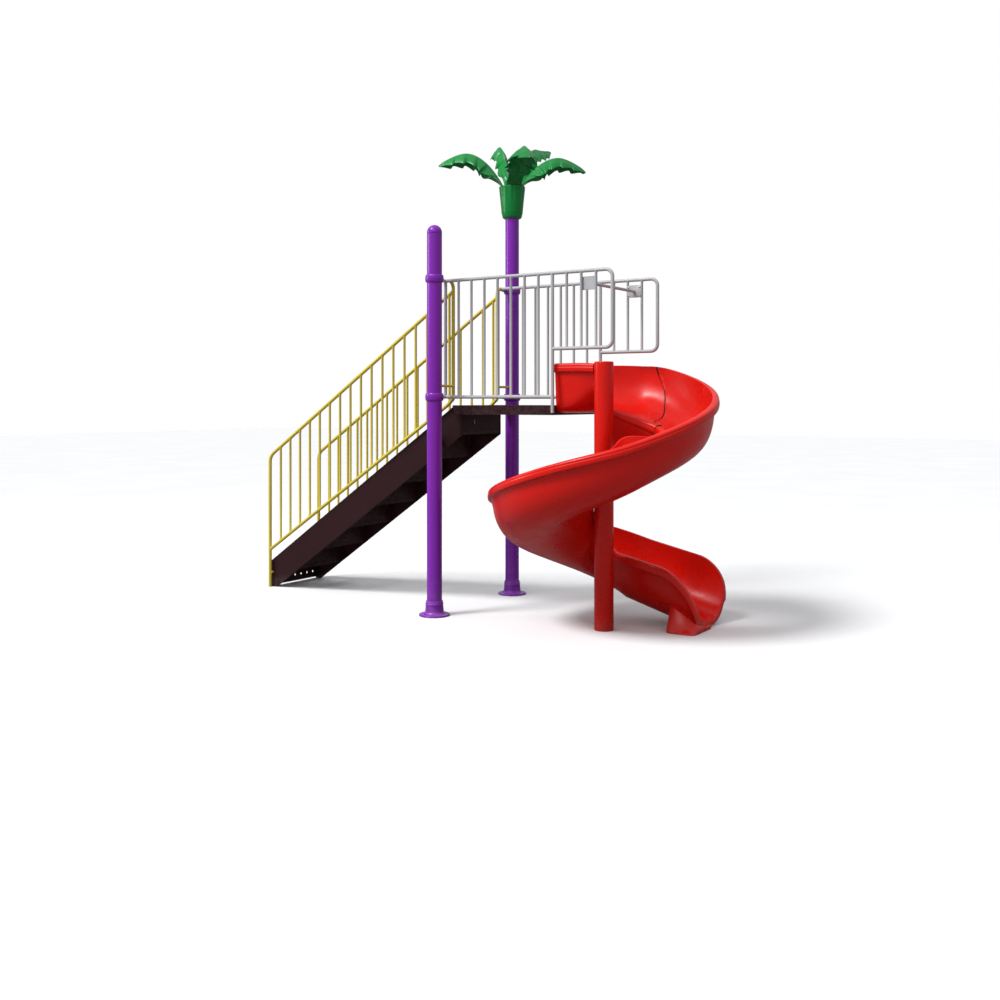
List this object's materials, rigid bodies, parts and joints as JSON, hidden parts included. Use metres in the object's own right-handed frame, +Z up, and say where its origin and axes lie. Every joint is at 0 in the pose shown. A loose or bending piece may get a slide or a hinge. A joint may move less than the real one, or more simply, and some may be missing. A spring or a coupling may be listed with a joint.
{
  "type": "playground spiral slide with stair, deck and palm post",
  "caption": "Playground slide: metal stair with handrails, railed deck, posts with a palm crown, and a red spiral slide turning once to the ground.",
  "frame": {"origin": "middle of the front post's base, on the ground", "axes": "+X from the stair towards the slide, +Y from the front post to the rear post, +Z up"},
  "size_m": [3.8745, 2.1676, 3.62],
  "materials": {
    "purple_paint": "gloss powder coat",
    "yellow_paint": "satin powder coat",
    "grey_paint": "satin powder coat",
    "brown_coating": "matt dipped coating",
    "red_plastic": "gloss moulded plastic",
    "green_plastic": "gloss moulded plastic"
  },
  "bodies": {
    "root": {"front_post": "purple_paint", "front_post_base": "purple_paint", "front_post_cap": "purple_paint", "rear_post": "purple_paint", "rear_post_base": "purple_paint", "front_upper_clamp": "purple_paint", "front_lower_clamp": "purple_paint", "rear_upper_clamp": "purple_paint", "rear_lower_clamp": "purple_paint", "front_barrier": "grey_paint", "rear_barrier": "grey_paint", "safety_bar": "grey_paint", "near_handrail": "yellow_paint", "far_handrail": "yellow_paint", "near_stringer": "brown_coating", "far_stringer": "brown_coating", "step_1": "brown_coating", "step_2": "brown_coating", "step_3": "brown_coating", "step_4": "brown_coating", "step_5": "brown_coating", "step_6": "brown_coating", "step_7": "brown_coating", "top_riser": "brown_coating", "deck": "brown_coating", "front_stair_bracket": "brown_coating", "rear_deck_bracket": "brown_coating", "palm_collar": "green_plastic", "palm_leaf_1": "green_plastic", "palm_leaf_2": "green_plastic", "palm_leaf_3": "green_plastic", "palm_leaf_4": "green_plastic", "palm_leaf_5": "green_plastic", "slide_post": "red_plastic", "slide_entry": "red_plastic", "slide_spiral_upper": "red_plastic", "slide_spiral_lower": "red_plastic", "slide_exit": "red_plastic", "slide_foot": "red_plastic"}
  },
  "joints": []
}
